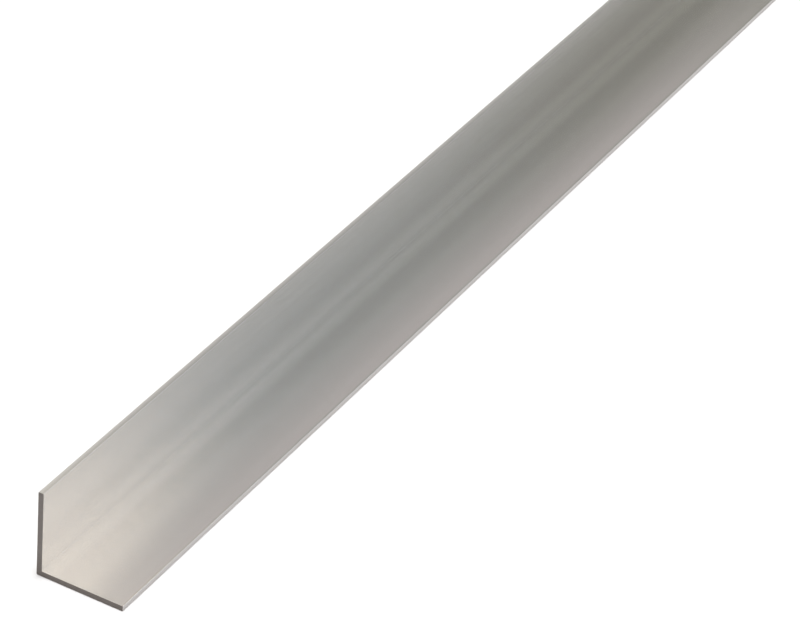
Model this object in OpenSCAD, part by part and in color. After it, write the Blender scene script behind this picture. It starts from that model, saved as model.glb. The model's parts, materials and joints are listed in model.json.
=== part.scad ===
// Equal-leg aluminium angle: one extruded L section, sawn square at both ends.
// It lies on its base leg, with the upright leg standing along the -X side and its length along Y.
// The origin is on the floor, under the middle of the bar.

/* [Stock] */
// Length of the bar as it is sold
bar_length = 1000; // [200:10:3000]

/* [Section] */
// Width of the leg that lies flat, measured over the heel
base_leg = 25; // [10:0.5:60]
// Height of the leg that stands, measured over the heel
upright_leg = 25; // [10:0.5:60]
// Wall thickness of both legs
wall = 1.5; // [1:0.1:4]

/* [Corners] */
// Fillet in the root, where the inside faces of the legs meet
root_radius = 0.15; // [0.1:0.05:3]
// Round on the heel, where the outside faces of the legs meet
heel_radius = 0.3; // [0.1:0.05:2]
// Round on each long edge of the two leg tips
tip_radius = 0.15; // [0.1:0.05:0.45]

/* [Hidden] */
// Sides of each full circle that an arc belongs to
arc_sides = 64;
// How far a corner shape reaches past the two faces that it joins
overrun = 0.1;
// Bare aluminium with a mill finish
mill_finish = [0.76, 0.75, 0.73];

// The sharp part of a right-angled corner: what lies between its point, at the origin, and the arc
// that touches both faces. Taken away it rounds an outside corner, and added it fillets an inside one.
module corner(radius) {
    difference() {
        translate([-overrun, -overrun]) square(radius + overrun);
        translate([radius, radius]) circle(r = radius, $fn = arc_sides);
    }
}

// A leg drawn along +X, from the heel to a tip with both its edges rounded.
module leg(reach) {
    difference() {
        square([reach, wall]);
        translate([reach, 0]) rotate(90) corner(tip_radius);
        translate([reach, wall]) rotate(180) corner(tip_radius);
    }
}

// The extruded section, with its heel at the origin: X across the base leg, Y up the upright leg.
module section() {
    difference() {
        union() {
            leg(base_leg);
            mirror([1, -1]) leg(upright_leg);
            translate([wall, wall]) corner(root_radius);
        }
        corner(heel_radius);
    }
}

module angle_profile() {
    color(mill_finish)
        translate([-base_leg / 2, 0, 0])
            rotate([90, 0, 0])
                linear_extrude(bar_length, center = true) section();
}

angle_profile();
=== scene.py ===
"""The looks of an equal-leg aluminium angle: mill-finished extruded faces, sawn ends and a white studio.

The bar replaces its plain CAD node with a mesh of the same section, which adds the die lines and the
small deburred edge of each sawn end. Everything is in metres, in the CAD frame.
"""

import json
import math

import bpy
import numpy as np
from mathutils import Matrix, Vector


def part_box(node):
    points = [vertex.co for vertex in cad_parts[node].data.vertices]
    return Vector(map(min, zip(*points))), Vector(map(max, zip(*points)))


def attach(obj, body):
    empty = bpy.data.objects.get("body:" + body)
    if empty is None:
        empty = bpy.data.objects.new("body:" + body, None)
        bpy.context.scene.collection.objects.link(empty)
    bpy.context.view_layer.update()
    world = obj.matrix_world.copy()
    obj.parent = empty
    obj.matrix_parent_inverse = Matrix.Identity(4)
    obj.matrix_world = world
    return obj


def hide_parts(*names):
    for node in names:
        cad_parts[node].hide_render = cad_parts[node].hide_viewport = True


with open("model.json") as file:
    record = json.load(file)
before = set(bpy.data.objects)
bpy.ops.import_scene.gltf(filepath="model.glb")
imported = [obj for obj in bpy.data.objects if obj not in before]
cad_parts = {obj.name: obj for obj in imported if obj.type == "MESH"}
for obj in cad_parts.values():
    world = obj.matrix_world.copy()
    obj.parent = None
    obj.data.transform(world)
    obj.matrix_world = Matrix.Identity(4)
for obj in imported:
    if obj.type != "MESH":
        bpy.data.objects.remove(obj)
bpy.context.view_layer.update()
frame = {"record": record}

NODE = "angle_profile"
BAR_LOW, BAR_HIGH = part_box(NODE)
LEG = BAR_HIGH.x - BAR_LOW.x
MM = 0.001


def mount_place(name):
    """Where the record puts one of the bar's faces."""
    return next(Vector(m["pos_m"]) for m in frame["record"]["mounts"] if m["name"] == name)


WALL = mount_place("base_inner_face").z - BAR_LOW.z

# Radii of the section. The root's is finer than in the CAD source, so that no bright line shows along it.
HEEL_RADIUS = 0.3 * MM
ROOT_RADIUS = 0.05 * MM
TIP_RADIUS = 0.15 * MM

# Mesh of the bar
ARC_STEPS = 8
FLAT_STEPS = 120
RING_SPACING = 25 * MM
DEBURR = 0.03 * MM
SHARP_ANGLE = math.radians(30)

# Die lines: shallow grooves along the bar, and the slow waves that leave a drawn face not quite flat
LINE_SEED = 11
DRAWN_FLATS = 4
LINES_PER_FLAT = 26
LINE_WIDTHS = (0.15 * MM, 0.7 * MM)
LINE_DEPTHS = (0.3e-6, 2.0e-6)
WAVES_PER_FLAT = 5
WAVE_LENGTHS = (4 * MM, 14 * MM)
WAVE_SLOPE = 0.004
FADE_LENGTHS = (0.25, 0.9)

# Finish of the drawn faces. Sizes of streaks and lines are across the bar and along it.
DRAWN_ANISOTROPY = 0.85
DRAWN_ROUGHNESS = (0.22, 0.26)
STREAK_SIZE = (2 * MM, 600 * MM)
FINE_LINE_SIZE = (0.3 * MM, 90 * MM)
FINE_LINE_BUMP = 0.02
FINE_LINE_DEPTH = 0.01 * MM

# Finish of the sawn ends, and their colour: on the floor, and from some way up. The colour is much darker
# than sawn aluminium: partly the matt saw-cut finish, partly painted shade.
SAWN_ROUGHNESS = (0.45, 0.62)
GRAIN_SIZE = (0.4 * MM, 1)
GRAIN_BUMP = 0.4
GRAIN_DEPTH = 0.02 * MM
SAWN_LOW = (0.167, 0.149, 0.138)
SAWN_HIGH = (0.188, 0.172, 0.162)
SAWN_RISE = 8 * MM

# What most of a noise texture's values lie between
NOISE_RANGE = (0.25, 0.75)

# Painted reflections and shade: light and dark bands along the faces that stand in for reflections of the
# studio, painted shade along the root inside, and the outside painted darker than the inside as shade. Each
# band is a step in mm from the root or the heel, and how light the metal is there. Steps below zero are up
# the upright leg, and those over zero are along the base leg.
METAL_COLOUR = (0.67, 0.66, 0.645)
INNER_PAINTED_BANDS = (
    (-25, 1.00), (-15, 1.00), (-11, 0.985), (-9, 0.995), (-6.5, 1.02), (-4.3, 1.075), (-2, 1.075),
    (0, 1.01), (2, 1.075), (3.2, 1.055), (5.5, 0.955), (8, 0.98), (11, 1.035), (15, 0.98), (18, 0.97),
    (21, 1.01), (23.1, 1.00),
)
# Painted shade: the outside is darker than the inside all over, with painted reflection bands of its own.
OUTER_PAINTED_SHADE = (
    (-24, 0.72), (-20, 0.77), (-12, 0.71), (-5, 0.76),
    (0, 0.73), (6, 0.71), (13, 0.77), (19, 0.72), (24, 0.73),
)

# Painted light and shade at the edges of the inside: a step in mm from the root, how light the metal is
# there, and how much cooler. The arcs and the narrow tip face are darker, as painted shade that dims their
# reflections, and the narrow face on top is lighter and cooler, as a painted highlight.
EDGE_PAINTED_LIGHT = (
    (-26, 1.00, 1.00), (-24.9, 1.18, 1.03), (-24.2, 1.05, 1.05), (-23.45, 0.80, 1.02), (-22.9, 0.93, 1.00),
    (-21.5, 0.93, 1.00), (-18, 0.98, 1.00), (-15, 1.00, 1.00),
    (23.1, 1.00, 1.00), (23.45, 0.77, 1.00), (24, 0.69, 0.97),
)

# The bar's two ends, where the painted reflection bands partly fade to the plain metal colour
FADED_LENGTH = 110 * MM
FADED_SHARE = 0.7

# Camera, fitted to the photograph: its place in leg widths from the near end's heel, and its angles
PHOTO_WIDTH_PX = 800
FOCAL_PX = 3531.98
SENSOR_MM = 36
CAMERA_IN_LEGS = Vector((15.0465, -22.5857, 21.4948))
CAMERA_TURN = math.radians(26.707)
CAMERA_DIP = math.radians(33.916)
CAMERA_ROLL = math.radians(5.2896)
CAMERA_CLIP = 0.01

# Studio
FLOOR_SIZE = 40
BACKDROP_HEIGHT = 6
FLOOR_GAP = 0.05 * MM
FLOOR_COLOUR = (0.86, 0.86, 0.86)
FLOOR_ROUGHNESS = 0.9
FLOOR_LIGHT = 2.76
FLOOR_LIGHT_COLOUR = (0.98, 0.965, 1.0)
FLOOR_LIGHT_SPREAD = math.radians(20)
WORLD_COLOUR = (0.42, 0.42, 0.38)
PANEL_HEIGHT = 0.62
# Colours of the light overhead
PLAIN = (1.0, 1.0, 1.0)
SOFT = (1.0, 0.97, 0.95)
LAMP = (1.0, 0.86, 0.74)
SKY = (0.64, 0.78, 1.0)
DUSK = (1.0, 0.8, 0.95)
# Each panel overhead: its reach in X, its reach in Y, how bright it is and its colour
PANELS = {
    "key": ((0.2, 1.2), (0.09, 0.2), 2.7, LAMP),
    "key_edge": ((0.2, 1.2), (0.2, 0.28), 0.43, SKY),
    "side": ((0.2, 1.2), (-1.2, 0.09), 1.04, PLAIN),
    "fill": ((-1.2, 0.2), (-1.2, -0.1), 1.04, SOFT),
    "fill_edge": ((-1.2, 0.2), (-0.1, 0.1), 0.84, LAMP),
    "back_left": ((-1.2, -0.2), (0.1, 0.9), 0.21, DUSK),
    "back_right": ((0.6, 1.2), (0.28, 0.9), 1.06, SKY),
}


def arc(centre, radius, start, end):
    """Points of an arc in the section, between two angles in degrees."""
    angles = np.radians(np.linspace(start, end, ARC_STEPS + 1))
    return np.array(centre) + radius * np.stack([np.cos(angles), np.sin(angles)], axis=1)


def flat(start, end):
    """Points between two ends of a flat in the section, without the ends, which the arcs have."""
    shares = np.linspace(0, 1, FLAT_STEPS + 1)[1:-1, None]
    return np.array(start) * (1 - shares) + np.array(end) * shares


def leg_path(tip_arc, corner_arc, lip_arc):
    """One side of the L, from the tip of the base leg round the corner to the lip of the upright leg."""
    base = flat(tip_arc[-1], corner_arc[0])
    upright = flat(corner_arc[-1], lip_arc[0])
    return np.concatenate([tip_arc, base, corner_arc, upright, lip_arc])


def outer_path():
    tip = arc((LEG - TIP_RADIUS, TIP_RADIUS), TIP_RADIUS, 0, -90)
    heel = arc((HEEL_RADIUS, HEEL_RADIUS), HEEL_RADIUS, -90, -180)
    lip = arc((TIP_RADIUS, LEG - TIP_RADIUS), TIP_RADIUS, 180, 90)
    return leg_path(tip, heel, lip)


def inner_path():
    tip = arc((LEG - TIP_RADIUS, WALL - TIP_RADIUS), TIP_RADIUS, 0, 90)
    root = arc((WALL + ROOT_RADIUS, WALL + ROOT_RADIUS), ROOT_RADIUS, -90, -180)
    lip = arc((WALL - TIP_RADIUS, LEG - TIP_RADIUS), TIP_RADIUS, 0, 90)
    return leg_path(tip, root, lip)


def outward(outline):
    """Unit normals of the closed outline, which runs clockwise seen from the near end."""
    along = np.roll(outline, -1, axis=0) - np.roll(outline, 1, axis=0)
    normals = np.stack([-along[:, 1], along[:, 0]], axis=1)
    return normals / np.linalg.norm(normals, axis=1, keepdims=True)


def face_relief(draw, across, along):
    """Height of one drawn face over its true plane, in rows along the bar and columns across the face."""
    width = across[-1]
    height = np.zeros((len(along), len(across)))
    for _ in range(LINES_PER_FLAT):
        place = draw.uniform(0, width)
        line_width = draw.uniform(*LINE_WIDTHS)
        depth = draw.uniform(*LINE_DEPTHS)
        fade_length = draw.uniform(*FADE_LENGTHS)
        fade_phase = draw.uniform(0, 2 * math.pi)
        fade = 0.5 + 0.5 * np.sin(along / fade_length * 2 * math.pi + fade_phase)
        height -= depth * fade[:, None] * np.exp(-((across - place) / line_width) ** 2)[None, :]
    for _ in range(WAVES_PER_FLAT):
        length = draw.uniform(*WAVE_LENGTHS)
        phase = draw.uniform(0, 2 * math.pi)
        depth = WAVE_SLOPE / WAVES_PER_FLAT * length / (2 * math.pi)
        height += depth * np.sin(across / length * 2 * math.pi + phase)[None, :]
    edges = np.clip(np.minimum(across, width - across) / LINE_WIDTHS[1], 0, 1)
    return height * edges


def section_relief(along):
    """Relief of the whole outline, for each ring: the drawn faces have it, and the arcs have none."""
    draw = np.random.RandomState(LINE_SEED)
    faces = []
    for _ in range(DRAWN_FLATS):
        across = np.linspace(0, LEG, FLAT_STEPS + 1)[1:-1]
        faces.append(face_relief(draw, across, along))
    arcs = np.zeros((len(along), ARC_STEPS + 1))
    outer = np.concatenate([arcs, faces[0], arcs, faces[1], arcs], axis=1)
    inner = np.concatenate([arcs, faces[2], arcs, faces[3], arcs], axis=1)
    return np.concatenate([outer, inner[:, ::-1]], axis=1)


def bar_rings():
    """Points of every ring of the bar, from the near end's deburred edge to the far end's."""
    near, far = BAR_LOW.y, BAR_HIGH.y
    count = round((far - near) / RING_SPACING)
    body = np.linspace(near + DEBURR, far - DEBURR, count + 1)
    outline = np.concatenate([outer_path(), inner_path()[::-1]])
    normals = outward(outline)
    relief = section_relief(body)
    rings = [outline + normals * relief[i][:, None] for i in range(len(body))]
    rings = [rings[0] - normals * DEBURR, *rings, rings[-1] - normals * DEBURR]
    places = [near, *body, far]
    corner = np.array([BAR_LOW.x, BAR_LOW.z])
    return [(ring + corner, y) for ring, y in zip(rings, places)]


def bar_faces(ring_count, size):
    """Quads of the drawn sides, and of the sawn ends: the deburred edges and the faces across the wall."""
    step = np.arange(size)
    after = (step + 1) % size
    bands = []
    for ring in range(ring_count - 1):
        a, b = ring * size, (ring + 1) * size
        bands.append(np.stack([a + step, a + after, b + after, b + step], axis=1))
    half = np.arange(size // 2 - 1)
    opposite = size - 1 - half
    far = np.stack([half, half + 1, opposite - 1, opposite], axis=1) + (ring_count - 1) * size
    near = np.stack([opposite, opposite - 1, half + 1, half], axis=1)
    return np.concatenate(bands[1:-1]), np.concatenate([bands[0], bands[-1], near, far])


def lay_out_uvs(mesh, rings):
    """UVs in metres: across the section's outline and along the bar, and as X and Z on the end faces."""
    outline = rings[1][0]
    reach = np.linalg.norm(np.diff(outline, axis=0, append=outline[:1]), axis=1)
    travelled = np.concatenate([[0], np.cumsum(reach)])
    size = len(outline)
    layer = mesh.uv_layers.new(name="drawn")
    for polygon in mesh.polygons:
        columns = [mesh.loops[i].vertex_index % size for i in polygon.loop_indices]
        wraps = max(columns) - min(columns) > 1
        for i, column in zip(polygon.loop_indices, columns):
            place = mesh.vertices[mesh.loops[i].vertex_index].co
            if polygon.material_index:
                layer.data[i].uv = (place.x, place.z)
            else:
                layer.data[i].uv = (travelled[size if wraps and column == 0 else column], place.y)


def build_bar(drawn, sawn):
    rings = bar_rings()
    size = len(rings[0][0])
    points = [(x, y, z) for ring, y in rings for x, z in ring]
    sides, ends = bar_faces(len(rings), size)
    mesh = bpy.data.meshes.new("angle_bar")
    mesh.from_pydata(points, [], np.concatenate([sides, ends]).tolist())
    mesh.materials.append(drawn)
    mesh.materials.append(sawn)
    sawn_faces = np.zeros(len(mesh.polygons), dtype=np.int32)
    sawn_faces[len(sides):] = 1
    mesh.polygons.foreach_set("material_index", sawn_faces)
    mesh.polygons.foreach_set("use_smooth", np.ones(len(mesh.polygons), dtype=bool))
    mesh.set_sharp_from_angle(angle=SHARP_ANGLE)
    lay_out_uvs(mesh, rings)
    mesh.validate()
    bar = bpy.data.objects.new("angle_bar", mesh)
    bpy.context.scene.collection.objects.link(bar)
    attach(bar, "root")
    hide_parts(NODE)


def new_material(name):
    material = bpy.data.materials.new(name)
    material.use_nodes = True
    return material, material.node_tree.nodes, material.node_tree.links


def axes(nodes, links, vector):
    """The X, Y and Z outputs of a vector."""
    parts = nodes.new("ShaderNodeSeparateXYZ")
    links.new(vector, parts.inputs["Vector"])
    return parts.outputs


def stretched_noise(nodes, links, place, size):
    """Noise in object space whose features are that long across the bar and along it."""
    across, along = size
    mapping = nodes.new("ShaderNodeMapping")
    mapping.inputs["Scale"].default_value = (1 / across, 1 / along, 1 / across)
    links.new(place, mapping.inputs["Vector"])
    noise = nodes.new("ShaderNodeTexNoise")
    noise.inputs["Scale"].default_value = 1.0
    links.new(mapping.outputs["Vector"], noise.inputs["Vector"])
    return noise.outputs["Fac"]


def ranged(nodes, links, value, reach):
    """A noise value spread over a range of its own."""
    spread = nodes.new("ShaderNodeMapRange")
    spread.inputs["From Min"].default_value = NOISE_RANGE[0]
    spread.inputs["From Max"].default_value = NOISE_RANGE[1]
    spread.inputs["To Min"].default_value = reach[0]
    spread.inputs["To Max"].default_value = reach[1]
    links.new(value, spread.inputs["Value"])
    return spread.outputs["Result"]


def bumped(nodes, links, height, strength, depth):
    """The normal of a face with that height on it."""
    bump = nodes.new("ShaderNodeBump")
    bump.inputs["Strength"].default_value = strength
    bump.inputs["Distance"].default_value = depth
    links.new(height, bump.inputs["Height"])
    return bump.outputs["Normal"]


def outline_lengths():
    """The way round the outline to the middle of the heel, to the middle of the root, and in all."""
    outline = np.concatenate([outer_path(), inner_path()[::-1]])
    steps = np.linalg.norm(np.diff(outline, axis=0, append=outline[:1]), axis=1)
    travelled = np.concatenate([[0], np.cumsum(steps)])
    half = len(outer_path())
    return travelled[half // 2], travelled[half + half // 2], travelled[-1]


def band_fade_at_ends(nodes, links, place):
    """How far the painted reflection bands fade: not at all along the bar, and most at its two ends."""
    from_middle = nodes.new("ShaderNodeMath")
    from_middle.operation = "ABSOLUTE"
    links.new(axes(nodes, links, place)["Y"], from_middle.inputs[0])
    faded = nodes.new("ShaderNodeMapRange")
    faded.interpolation_type = "SMOOTHSTEP"
    faded.inputs["From Min"].default_value = BAR_HIGH.y - FADED_LENGTH
    faded.inputs["From Max"].default_value = BAR_HIGH.y
    faded.inputs["To Max"].default_value = FADED_SHARE
    links.new(from_middle.outputs["Value"], faded.inputs["Value"])
    return faded.outputs["Result"]


def tone_ramp(nodes, links, share, stops):
    """A colour that changes from stop to stop as a share grows from nothing to one."""
    ramp = nodes.new("ShaderNodeValToRGB")
    ramp.color_ramp.interpolation = "EASE"
    elements = ramp.color_ramp.elements
    while len(elements) > 1:
        elements.remove(elements[-1])
    for number, (position, colour) in enumerate(sorted(stops)):
        element = elements[0] if number == 0 else elements.new(position)
        element.position = position
        element.color = (*colour, 1)
    links.new(share, ramp.inputs["Fac"])
    return ramp.outputs["Color"]


def mixed(nodes, links, blend, colour):
    """A mix of one colour with another, which the caller sets or links."""
    mix = nodes.new("ShaderNodeMix")
    mix.data_type = "RGBA"
    mix.blend_type = blend
    links.new(colour, mix.inputs["A"])
    return mix


def outline_share(nodes, links, whole):
    """How far round the section's outline a place is, from nothing to one."""
    uv = nodes.new("ShaderNodeUVMap")
    uv.uv_map = "drawn"
    share = nodes.new("ShaderNodeMath")
    share.operation = "DIVIDE"
    share.inputs[1].default_value = whole
    links.new(axes(nodes, links, uv.outputs["UV"])["X"], share.inputs[0])
    return share.outputs["Value"]


def painted_band_stops(heel, root, whole):
    """The painted reflection bands of the inside and the painted shade of the outside, as stops round the
    outline.
    """
    bands = [(heel - step * MM, tone) for step, tone in OUTER_PAINTED_SHADE]
    bands += [(root + step * MM, tone) for step, tone in INNER_PAINTED_BANDS]
    return [(way / whole, [tone * part for part in METAL_COLOUR]) for way, tone in bands]


def painted_edge_stops(root, whole):
    """The painted shade and highlights of the edges, as stops round the outline."""
    stops = []
    for step, tone, cooler in EDGE_PAINTED_LIGHT:
        stops.append(((root + step * MM) / whole, (tone, tone * cooler, tone * cooler)))
    return stops


def painted_light_tones(nodes, links, place):
    """The metal's colour with painted light and shade: reflection bands along the bar, faded at its ends,
    and painted shade and highlights at the edges.
    """
    heel, root, whole = outline_lengths()
    share = outline_share(nodes, links, whole)
    bands = tone_ramp(nodes, links, share, painted_band_stops(heel, root, whole))
    faded = mixed(nodes, links, "MIX", bands)
    links.new(band_fade_at_ends(nodes, links, place), faded.inputs["Factor"])
    faded.inputs["B"].default_value = (*METAL_COLOUR, 1)
    edged = mixed(nodes, links, "MULTIPLY", faded.outputs["Result"])
    edged.inputs["Factor"].default_value = 1.0
    links.new(tone_ramp(nodes, links, share, painted_edge_stops(root, whole)), edged.inputs["B"])
    return edged.outputs["Result"]


def mill_aluminium():
    """Bare extruded aluminium: satin across the die lines, glossier along them."""
    material, nodes, links = new_material("mill_aluminium")
    shader = nodes["Principled BSDF"]
    place = nodes.new("ShaderNodeTexCoord").outputs["Object"]
    shader.inputs["Metallic"].default_value = 1.0
    shader.inputs["Anisotropic"].default_value = DRAWN_ANISOTROPY
    # The base colour carries painted reflections, painted shade and painted highlights.
    links.new(painted_light_tones(nodes, links, place), shader.inputs["Base Color"])
    tangent = nodes.new("ShaderNodeTangent")
    tangent.direction_type = "UV_MAP"
    tangent.uv_map = "drawn"
    links.new(tangent.outputs["Tangent"], shader.inputs["Tangent"])
    streaks = stretched_noise(nodes, links, place, STREAK_SIZE)
    links.new(ranged(nodes, links, streaks, DRAWN_ROUGHNESS), shader.inputs["Roughness"])
    fine = stretched_noise(nodes, links, place, FINE_LINE_SIZE)
    links.new(bumped(nodes, links, fine, FINE_LINE_BUMP, FINE_LINE_DEPTH), shader.inputs["Normal"])
    return material


def sawn_tone(nodes, links, place):
    """The colour of a sawn end, partly painted shade, a little lighter up the upright leg."""
    rise = nodes.new("ShaderNodeMapRange")
    rise.inputs["From Max"].default_value = SAWN_RISE
    links.new(axes(nodes, links, place)["Z"], rise.inputs["Value"])
    return tone_ramp(nodes, links, rise.outputs["Result"], ((0, SAWN_LOW), (1, SAWN_HIGH)))


def sawn_aluminium():
    """The end that a saw left: matt, with marks across the wall, and darker partly from painted shade."""
    material, nodes, links = new_material("sawn_aluminium")
    shader = nodes["Principled BSDF"]
    place = nodes.new("ShaderNodeTexCoord").outputs["Object"]
    shader.inputs["Metallic"].default_value = 1.0
    links.new(sawn_tone(nodes, links, place), shader.inputs["Base Color"])
    grain = stretched_noise(nodes, links, place, GRAIN_SIZE)
    links.new(ranged(nodes, links, grain, SAWN_ROUGHNESS), shader.inputs["Roughness"])
    links.new(bumped(nodes, links, grain, GRAIN_BUMP, GRAIN_DEPTH), shader.inputs["Normal"])
    return material


def floor_paint():
    material, nodes, _ = new_material("floor_paint")
    shader = nodes["Principled BSDF"]
    shader.inputs["Base Color"].default_value = (*FLOOR_COLOUR, 1)
    shader.inputs["Roughness"].default_value = FLOOR_ROUGHNESS
    shader.inputs["Specular IOR Level"].default_value = 0.0
    return material


def add_floor():
    """A wide floor with plain walls far away, so that a low view has no horizon."""
    half = FLOOR_SIZE / 2
    height = BAR_LOW.z - FLOOR_GAP
    corners = [(-half, -half), (half, -half), (half, half), (-half, half)]
    points = [(x, y, height) for x, y in corners]
    points += [(x, y, height + BACKDROP_HEIGHT) for x, y in corners]
    walls = [(side, side + 4, (side + 1) % 4 + 4, (side + 1) % 4) for side in range(4)]
    mesh = bpy.data.meshes.new("floor")
    mesh.from_pydata(points, [], [(0, 1, 2, 3), *walls])
    mesh.materials.append(floor_paint())
    floor = bpy.data.objects.new("floor", mesh)
    bpy.context.scene.collection.objects.link(floor)


def add_panel(name, reach_x, reach_y, brightness, colour):
    """A soft panel overhead that faces down, for the metal to mirror. It doesn't light the floor."""
    width = reach_x[1] - reach_x[0]
    depth = reach_y[1] - reach_y[0]
    data = bpy.data.lights.new(name, "AREA")
    data.shape = "RECTANGLE"
    data.size = width
    data.size_y = depth
    data.color = colour
    data.energy = brightness * math.pi * width * depth
    panel = bpy.data.objects.new(name, data)
    bpy.context.scene.collection.objects.link(panel)
    panel.location = (sum(reach_x) / 2, sum(reach_y) / 2, PANEL_HEIGHT)
    panel.visible_camera = False
    panel.visible_diffuse = False


def light_floor():
    """A wide even light from above that turns the floor white. The metal doesn't mirror it."""
    data = bpy.data.lights.new("floor_light", "SUN")
    data.energy = FLOOR_LIGHT
    data.color = FLOOR_LIGHT_COLOUR
    data.angle = FLOOR_LIGHT_SPREAD
    light = bpy.data.objects.new("floor_light", data)
    bpy.context.scene.collection.objects.link(light)
    light.visible_glossy = False


def light_world():
    world = bpy.data.worlds.new("studio")
    world.use_nodes = True
    world.node_tree.nodes["Background"].inputs["Color"].default_value = (*WORLD_COLOUR, 1)
    bpy.context.scene.world = world


def add_camera():
    data = bpy.data.cameras.new("camera")
    data.sensor_width = SENSOR_MM
    data.lens = FOCAL_PX * SENSOR_MM / PHOTO_WIDTH_PX
    data.clip_start = CAMERA_CLIP
    forward = Vector((-math.sin(CAMERA_TURN), math.cos(CAMERA_TURN), 0)) * math.cos(CAMERA_DIP)
    forward.z = -math.sin(CAMERA_DIP)
    level = forward.cross(Vector((0, 0, 1))).normalized()
    right = level * math.cos(CAMERA_ROLL) + level.cross(forward) * math.sin(CAMERA_ROLL)
    up = right.cross(forward)
    camera = bpy.data.objects.new("camera", data)
    bpy.context.scene.collection.objects.link(camera)
    turn = Matrix((right, up, -forward)).transposed()
    camera.matrix_world = Matrix.Translation(BAR_LOW + CAMERA_IN_LEGS * LEG) @ turn.to_4x4()
    bpy.context.scene.camera = camera


add_camera()
build_bar(mill_aluminium(), sawn_aluminium())
add_floor()
light_floor()
for panel_name, panel in PANELS.items():
    add_panel(panel_name, *panel)
light_world()
bpy.context.scene.view_settings.view_transform = "Standard"
